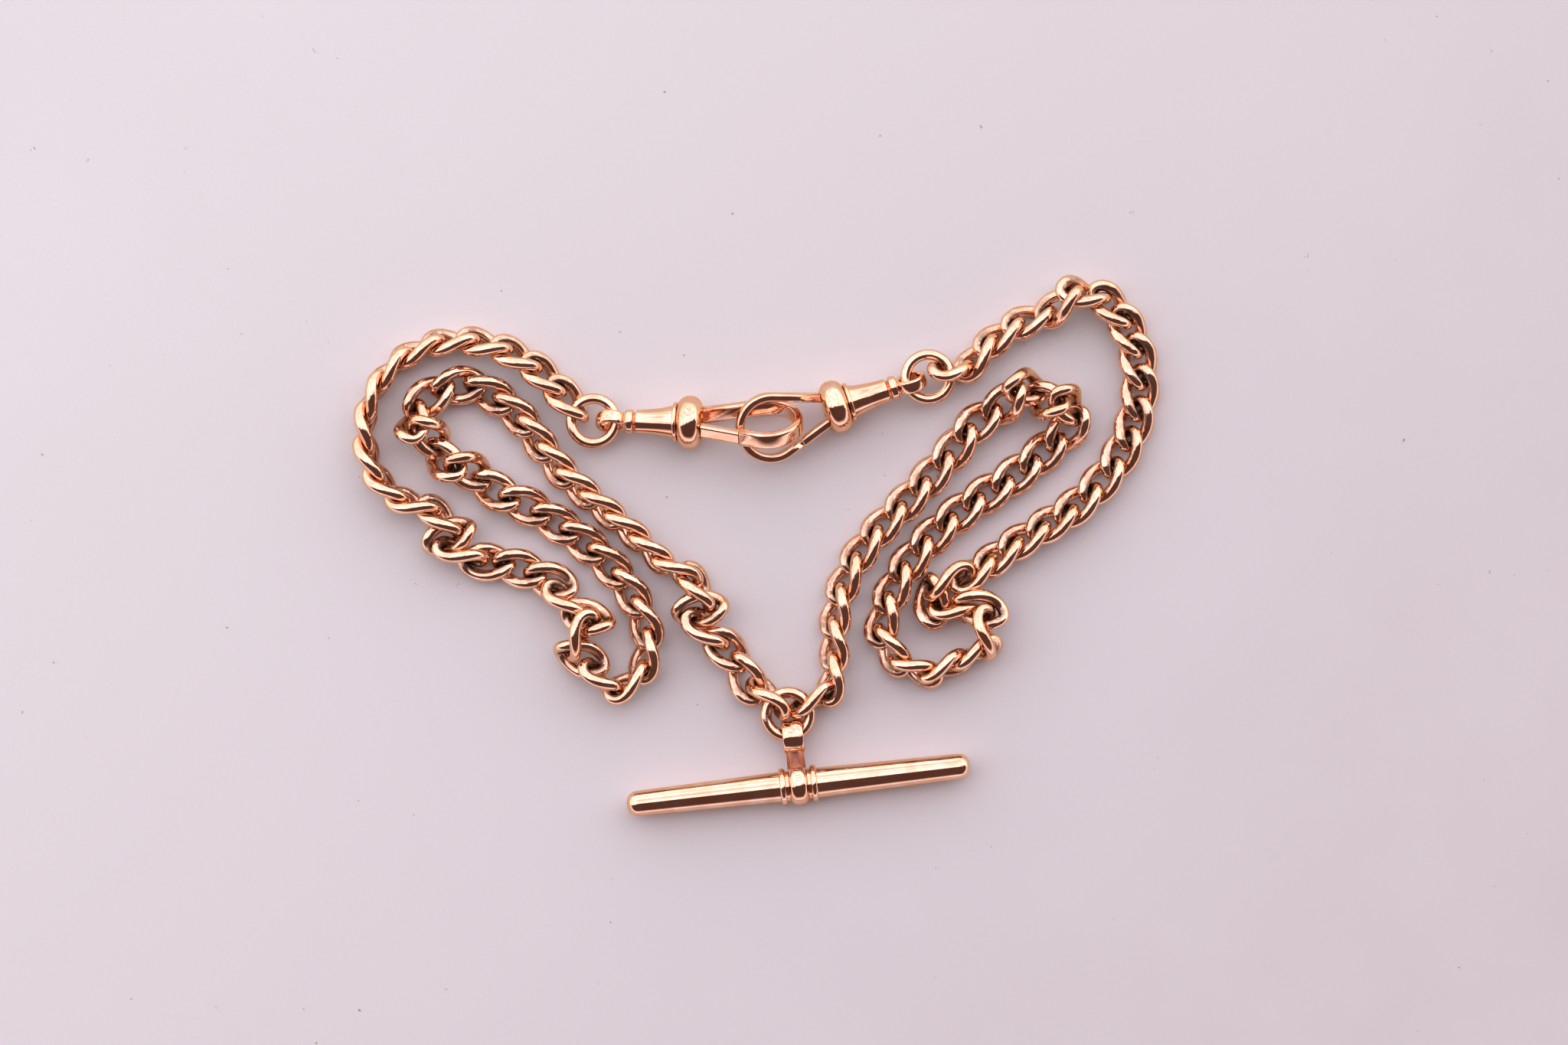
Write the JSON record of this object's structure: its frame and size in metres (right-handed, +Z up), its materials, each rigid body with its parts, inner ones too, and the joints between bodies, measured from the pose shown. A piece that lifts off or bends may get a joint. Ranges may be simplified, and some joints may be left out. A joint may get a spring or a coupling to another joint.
{
  "type": "double watch chain",
  "caption": "Watch chain of twisted curb links for a waistcoat: a T-bar and gathering ring, and runs of links that end in sprung swivel clips, hooked through each other.",
  "frame": {"origin": "middle of the chain's bounding box in plan, on the surface that it lies on", "axes": "+X to the right along the longest extent of the laid-out chain, +Y away from the T-bar towards the clips, +Z up from the surface"},
  "size_m": [0.0982, 0.066, 0.0082],
  "materials": {
    "rose_gold": "polished",
    "rose_gold_matt_neck": "polished, matt where soldered",
    "spring_steel": "satin"
  },
  "bodies": {
    "gathering_ring": {"ring_t_bar": "rose_gold"},
    "t_bar": {"t_bar_rod": "rose_gold", "t_bar_cap_left": "rose_gold", "t_bar_cap_right": "rose_gold", "t_bar_bead": "rose_gold", "t_bar_side_rings": "rose_gold", "t_bar_bail": "rose_gold_matt_neck"},
    "links_left_01": {"links_left_01": "rose_gold"},
    "links_left_02": {"links_left_02": "rose_gold"},
    "links_left_03": {"links_left_03": "rose_gold"},
    "links_left_04": {"links_left_04": "rose_gold"},
    "links_left_05": {"links_left_05": "rose_gold"},
    "links_left_06": {"links_left_06": "rose_gold"},
    "links_left_07": {"links_left_07": "rose_gold"},
    "links_left_08": {"links_left_08": "rose_gold"},
    "links_left_09": {"links_left_09": "rose_gold"},
    "links_left_10": {"links_left_10": "rose_gold"},
    "links_left_11": {"links_left_11": "rose_gold"},
    "links_left_12": {"links_left_12": "rose_gold"},
    "links_left_13": {"links_left_13": "rose_gold"},
    "links_left_14": {"links_left_14": "rose_gold"},
    "links_left_15": {"links_left_15": "rose_gold"},
    "links_left_16": {"links_left_16": "rose_gold"},
    "links_left_17": {"links_left_17": "rose_gold"},
    "links_left_18": {"links_left_18": "rose_gold"},
    "links_right_01": {"links_right_01": "rose_gold"},
    "links_right_02": {"links_right_02": "rose_gold"},
    "links_right_03": {"links_right_03": "rose_gold"},
    "links_right_04": {"links_right_04": "rose_gold"},
    "links_right_05": {"links_right_05": "rose_gold"},
    "links_right_06": {"links_right_06": "rose_gold"},
    "links_right_07": {"links_right_07": "rose_gold"},
    "links_right_08": {"links_right_08": "rose_gold"},
    "links_right_09": {"links_right_09": "rose_gold"},
    "links_right_10": {"links_right_10": "rose_gold"},
    "links_right_11": {"links_right_11": "rose_gold"},
    "links_right_12": {"links_right_12": "rose_gold"},
    "links_right_13": {"links_right_13": "rose_gold"},
    "links_right_14": {"links_right_14": "rose_gold"},
    "links_right_15": {"links_right_15": "rose_gold"},
    "links_right_16": {"links_right_16": "rose_gold"},
    "links_right_17": {"links_right_17": "rose_gold"},
    "left_ring": {"ring_left": "rose_gold"},
    "left_eye": {"clip_left_eye": "rose_gold"},
    "left_clip": {"clip_left_barrel": "rose_gold", "clip_left_disc": "rose_gold", "clip_left_bulb": "rose_gold", "clip_left_hook": "rose_gold", "clip_left_gate_pin": "rose_gold", "clip_left_gate_spring": "spring_steel"},
    "left_gate": {"clip_left_gate": "rose_gold"},
    "right_ring": {"ring_right": "rose_gold"},
    "right_eye": {"clip_right_eye": "rose_gold"},
    "right_clip": {"clip_right_barrel": "rose_gold", "clip_right_disc": "rose_gold", "clip_right_bulb": "rose_gold", "clip_right_hook": "rose_gold", "clip_right_gate_pin": "rose_gold", "clip_right_gate_spring": "spring_steel"},
    "right_gate": {"clip_right_gate": "rose_gold"}
  },
  "joints": [
    {"name": "bar_swing", "type": "hinge", "parent": "gathering_ring", "child": "t_bar", "pos_m": [0.00409, -0.0232, 0.00243], "axis": [0.9934, 0.1149, 0], "range_deg": [-20, 90]},
    {"name": "clip_left_gate_open", "type": "hinge", "parent": "left_clip", "child": "left_gate", "pos_m": [-0.00739, 0.01411, 0.00459], "axis": [-0.0397, 0.82, 0.571], "range_deg": [0, 3.5], "stiffness_Nm_per_rad": 0.004, "springref_deg": -11.46},
    {"name": "clip_right_gate_open", "type": "hinge", "parent": "right_clip", "child": "right_gate", "pos_m": [0.00918, 0.01524, 0.00321], "axis": [-0.0942, 0.152, -0.9839], "range_deg": [0, 8], "stiffness_Nm_per_rad": 0.004, "springref_deg": -11.46},
    {"name": "clip_left_swivel", "type": "hinge", "parent": "left_eye", "child": "left_clip", "pos_m": [-0.01771, 0.01512, 0.00242], "axis": [-0.9954, 0.0174, -0.0941], "range_deg": [-4, 20]},
    {"name": "clip_right_swivel", "type": "hinge", "parent": "right_eye", "child": "right_clip", "pos_m": [0.01873, 0.01981, 0.003], "axis": [0.9507, 0.3071, -0.0436], "range_deg": [-6, 15]},
    {"name": "clip_left_eye_tilt", "type": "hinge", "parent": "left_ring", "child": "left_eye", "pos_m": [-0.01675, 0.01453, 0.00223], "axis": [0.99, 0.135, 0.0405], "range_deg": [-1.8, 4.6]},
    {"name": "clip_right_eye_tilt", "type": "hinge", "parent": "right_ring", "child": "right_eye", "pos_m": [0.01772, 0.01951, 0.00304], "axis": [-0.9878, -0.1556, 0.0039], "range_deg": [-1.8, 4.6]},
    {"name": "ring_left_turn", "type": "hinge", "parent": "links_left_18", "child": "left_ring", "pos_m": [-0.02166, 0.01698, 0.00176], "axis": [-0.9985, -0.0159, -0.0516], "range_deg": [-1.8, 3.7]},
    {"name": "ring_right_turn", "type": "hinge", "parent": "links_right_17", "child": "right_ring", "pos_m": [0.02196, 0.02218, 0.00295], "axis": [0.9653, 0.2611, -0.0077], "range_deg": [-1.8, 2.8]},
    {"name": "link_left_01_turn", "type": "hinge", "parent": "gathering_ring", "child": "links_left_01", "pos_m": [0.00213, -0.01893, 0.0018], "axis": [0.0581, 0.9977, 0.0354], "range_deg": [-1.8, 0.9]},
    {"name": "link_left_02_turn", "type": "hinge", "parent": "links_left_01", "child": "links_left_02", "pos_m": [-0.00574, -0.0112, 0.00127], "axis": [-0.3291, -0.9424, -0.06], "range_deg": [-1.8, 4.6]},
    {"name": "link_left_03_turn", "type": "hinge", "parent": "links_left_02", "child": "links_left_03", "pos_m": [-0.00894, -0.00324, 0.00358], "axis": [0.5384, 0.8424, -0.0198], "range_deg": [-1.1, 4.6]},
    {"name": "link_left_04_turn", "type": "hinge", "parent": "links_left_03", "child": "links_left_04", "pos_m": [-0.01714, 0.00381, 0.00338], "axis": [-0.8442, -0.5359, 0.0113], "range_deg": [-1.1, 4.6]},
    {"name": "link_left_05_turn", "type": "hinge", "parent": "links_left_04", "child": "links_left_05", "pos_m": [-0.02646, 0.01112, 0.00136], "axis": [0.9783, 0.1997, 0.0552], "range_deg": [-1.8, 2.3]},
    {"name": "link_left_06_turn", "type": "hinge", "parent": "links_left_05", "child": "links_left_06", "pos_m": [-0.03441, 0.01834, 0.00138], "axis": [-0.9987, 0.0245, -0.0442], "range_deg": [-0.9, 4.6]},
    {"name": "link_left_07_turn", "type": "hinge", "parent": "links_left_06", "child": "links_left_07", "pos_m": [-0.03996, 0.01481, 0.00478], "axis": [0.9976, 0.0581, -0.0381], "range_deg": [-0.7, 4.6]},
    {"name": "link_left_08_turn", "type": "hinge", "parent": "links_left_07", "child": "links_left_08", "pos_m": [-0.03429, 0.00778, 0.00186], "axis": [-0.9698, -0.2418, -0.0311], "range_deg": [-1.8, 2.8]},
    {"name": "link_left_09_turn", "type": "hinge", "parent": "links_left_08", "child": "links_left_09", "pos_m": [-0.02338, 0.00079, 0.00139], "axis": [0.8559, 0.5145, 0.0529], "range_deg": [-0.9, 4.6]},
    {"name": "link_left_10_turn", "type": "hinge", "parent": "links_left_09", "child": "links_left_10", "pos_m": [-0.01376, -0.00777, 0.0028], "axis": [-0.5819, -0.8132, -0.0095], "range_deg": [-0.7, 4.6]},
    {"name": "link_left_11_turn", "type": "hinge", "parent": "links_left_10", "child": "links_left_11", "pos_m": [-0.01785, -0.01737, 0.00132], "axis": [0.5359, 0.8432, 0.0431], "range_deg": [-1.8, 4.6]},
    {"name": "link_left_12_turn", "type": "hinge", "parent": "links_left_11", "child": "links_left_12", "pos_m": [-0.0194, -0.00955, 0.00447], "axis": [-0.6592, -0.751, 0.0384], "range_deg": [-0.4, 2.8]},
    {"name": "link_left_13_turn", "type": "hinge", "parent": "links_left_12", "child": "links_left_13", "pos_m": [-0.02625, -0.00286, 0.00175], "axis": [0.8325, 0.5529, 0.0366], "range_deg": [-1.8, 3.7]},
    {"name": "link_left_14_turn", "type": "hinge", "parent": "links_left_13", "child": "links_left_14", "pos_m": [-0.03946, 0.00045, 0.00275], "axis": [-0.9324, -0.3613, -0.0072], "range_deg": [-1.1, 3.7]},
    {"name": "link_left_15_turn", "type": "hinge", "parent": "links_left_14", "child": "links_left_15", "pos_m": [-0.04444, 0.00604, 0.00362], "axis": [0.9738, 0.2271, -0.0106], "range_deg": [-1.8, 2.8]},
    {"name": "link_left_16_turn", "type": "hinge", "parent": "links_left_15", "child": "links_left_16", "pos_m": [-0.04754, 0.01639, 0.00138], "axis": [-0.9993, -0.0194, -0.033], "range_deg": [-1.8, 2.8]},
    {"name": "link_left_17_turn", "type": "hinge", "parent": "links_left_16", "child": "links_left_17", "pos_m": [-0.03941, 0.02417, 0.00345], "axis": [0.9881, -0.1534, -0.0081], "range_deg": [-0.5, 4.6]},
    {"name": "link_left_18_turn", "type": "hinge", "parent": "links_left_17", "child": "links_left_18", "pos_m": [-0.02782, 0.0227, 0.00149], "axis": [-0.9854, 0.1631, -0.0494], "range_deg": [-1.8, 0.9]},
    {"name": "link_right_01_turn", "type": "hinge", "parent": "gathering_ring", "child": "links_right_01", "pos_m": [0.00534, -0.01898, 0.00187], "axis": [-0.0302, 0.999, 0.0337], "range_deg": [-1.8, 4.6]},
    {"name": "link_right_02_turn", "type": "hinge", "parent": "links_right_01", "child": "links_right_02", "pos_m": [0.00999, -0.01017, 0.00324], "axis": [0.204, -0.9789, 0.0053], "range_deg": [-1.8, 1.4]},
    {"name": "link_right_03_turn", "type": "hinge", "parent": "links_right_02", "child": "links_right_03", "pos_m": [0.01334, 0.00124, 0.00143], "axis": [0.4889, -0.8677, -0.0893], "range_deg": [-1.4, 2.3]},
    {"name": "link_right_04_turn", "type": "hinge", "parent": "links_right_03", "child": "links_right_04", "pos_m": [0.02202, 0.01063, 0.00142], "axis": [-0.9311, 0.3541, 0.0878], "range_deg": [-1.8, 4.6]},
    {"name": "link_right_05_turn", "type": "hinge", "parent": "links_right_04", "child": "links_right_05", "pos_m": [0.0317, 0.01716, 0.00377], "axis": [0.9997, -0.0082, 0.0246], "range_deg": [-0.5, 4.6]},
    {"name": "link_right_06_turn", "type": "hinge", "parent": "links_right_05", "child": "links_right_06", "pos_m": [0.03936, 0.01503, 0.0028], "axis": [-0.9977, 0.067, 0.0083], "range_deg": [-1.8, 2.8]},
    {"name": "link_right_07_turn", "type": "hinge", "parent": "links_right_06", "child": "links_right_07", "pos_m": [0.03003, 0.00641, 0.00183], "axis": [0.9192, -0.3913, -0.0449], "range_deg": [-1.1, 1.4]},
    {"name": "link_right_08_turn", "type": "hinge", "parent": "links_right_07", "child": "links_right_08", "pos_m": [0.01927, -0.00001, 0.00137], "axis": [0.6518, -0.7547, -0.0746], "range_deg": [-1.1, 4.6]},
    {"name": "link_right_09_turn", "type": "hinge", "parent": "links_right_08", "child": "links_right_09", "pos_m": [0.01609, -0.01111, 0.00321], "axis": [-0.3838, 0.9234, -0.0037], "range_deg": [-1.8, 1.8]},
    {"name": "link_right_10_turn", "type": "hinge", "parent": "links_right_09", "child": "links_right_10", "pos_m": [0.02525, -0.01379, 0.00157], "axis": [0.5584, -0.8286, -0.0404], "range_deg": [-1.4, 4.6]},
    {"name": "link_right_11_turn", "type": "hinge", "parent": "links_right_10", "child": "links_right_11", "pos_m": [0.02459, -0.00722, 0.00396], "axis": [-0.637, 0.7704, -0.0272], "range_deg": [-0.6, 3.7]},
    {"name": "link_right_12_turn", "type": "hinge", "parent": "links_right_11", "child": "links_right_12", "pos_m": [0.02405, -0.00447, 0.00211], "axis": [-0.6711, 0.7406, 0.0335], "range_deg": [-0.4, 1.8]},
    {"name": "link_right_13_turn", "type": "hinge", "parent": "links_right_12", "child": "links_right_13", "pos_m": [0.0339, 0.00265, 0.00138], "axis": [0.8943, -0.4445, -0.0517], "range_deg": [-0.7, 4.6]},
    {"name": "link_right_14_turn", "type": "hinge", "parent": "links_right_13", "child": "links_right_14", "pos_m": [0.04361, 0.00856, 0.00219], "axis": [-0.9755, 0.2187, 0.0224], "range_deg": [-1.1, 2.3]},
    {"name": "link_right_15_turn", "type": "hinge", "parent": "links_right_14", "child": "links_right_15", "pos_m": [0.04547, 0.0205, 0.00181], "axis": [0.9967, 0.0752, -0.0311], "range_deg": [-1.8, 4.6]},
    {"name": "link_right_16_turn", "type": "hinge", "parent": "links_right_15", "child": "links_right_16", "pos_m": [0.04128, 0.02966, 0.003], "axis": [-0.9493, -0.3145, 0.0025], "range_deg": [-0.7, 4.6]},
    {"name": "link_right_17_turn", "type": "hinge", "parent": "links_right_16", "child": "links_right_17", "pos_m": [0.03054, 0.02664, 0.00149], "axis": [-0.9418, -0.3311, 0.0575], "range_deg": [-0.5, 4.6]}
  ]
}
